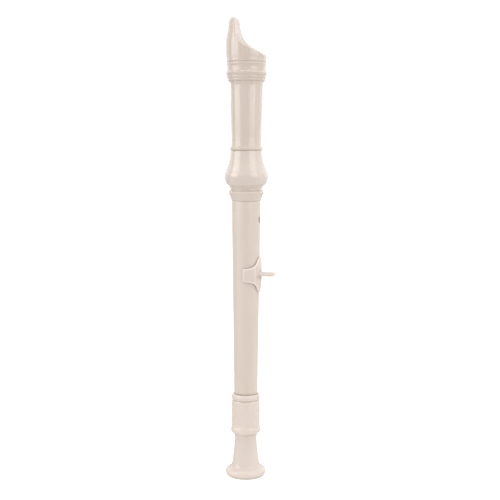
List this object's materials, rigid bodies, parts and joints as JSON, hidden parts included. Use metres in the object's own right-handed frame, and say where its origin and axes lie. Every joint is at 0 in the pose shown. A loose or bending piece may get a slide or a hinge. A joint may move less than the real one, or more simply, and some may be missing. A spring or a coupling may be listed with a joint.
{
  "type": "soprano recorder",
  "caption": "Three-joint moulded soprano recorder with beak and windway, tapered finger-hole tube, turned bulb and bell, and a clip-on thumb rest.",
  "frame": {"origin": "centre of the bounding box's footprint, on the plane the bell stands on; the bore axis is parallel to Z at y = -2.925 mm, because the thumb-rest shelf reaches further back than the bulb does to the front", "axes": "+Z along the bore from the bell to the beak; the window and finger holes face -Y, the thumb hole and thumb rest face +Y; +X is the player's left"},
  "size_m": [0.0308, 0.0366, 0.3298],
  "materials": {
    "middle_joint": "glossy ivory moulded plastic",
    "thumb_rest": "glossy ivory moulded plastic",
    "foot_sleeve": "glossy ivory moulded plastic",
    "foot_ring": "glossy ivory moulded plastic",
    "foot_bell": "glossy ivory moulded plastic",
    "socket_end_ring": "glossy ivory moulded plastic",
    "socket_bulb": "glossy ivory moulded plastic",
    "head_tube": "glossy ivory moulded plastic",
    "head_collar": "glossy ivory moulded plastic",
    "beak_shell": "glossy ivory moulded plastic",
    "windway_block": "satin ivory moulded plastic"
  },
  "bodies": {
    "middle": {"middle_joint": "middle_joint"},
    "head_socket": {"socket_bulb": "socket_bulb", "socket_end_ring": "socket_end_ring"},
    "head": {"head_tube": "head_tube", "head_collar": "head_collar", "beak_shell": "beak_shell", "windway_block": "windway_block"},
    "foot_ends": {"foot_bell": "foot_bell", "foot_ring": "foot_ring"},
    "foot_barrel": {"foot_sleeve": "foot_sleeve"},
    "thumb_rest": {"thumb_rest": "thumb_rest"}
  },
  "joints": [
    {"name": "head_pull", "type": "slide", "parent": "middle", "child": "head_socket", "axis": [0, 0, 1], "range_m": [0, 0.023]},
    {"name": "head_twist", "type": "hinge", "parent": "head_socket", "child": "head", "pos_m": [0, -0.00293, 0.2137], "axis": [0, 0, 1], "continuous": true},
    {"name": "foot_pull", "type": "slide", "parent": "middle", "child": "foot_ends", "axis": [0, 0, -1], "range_m": [0, 0.014]},
    {"name": "foot_twist", "type": "hinge", "parent": "foot_ends", "child": "foot_barrel", "pos_m": [0, -0.00293, 0.054], "axis": [0, 0, 1], "continuous": true},
    {"name": "thumb_rest_slide", "type": "slide", "parent": "middle", "child": "thumb_rest", "axis": [0, 0, 1], "range_m": [-0.008, 0.008]}
  ]
}
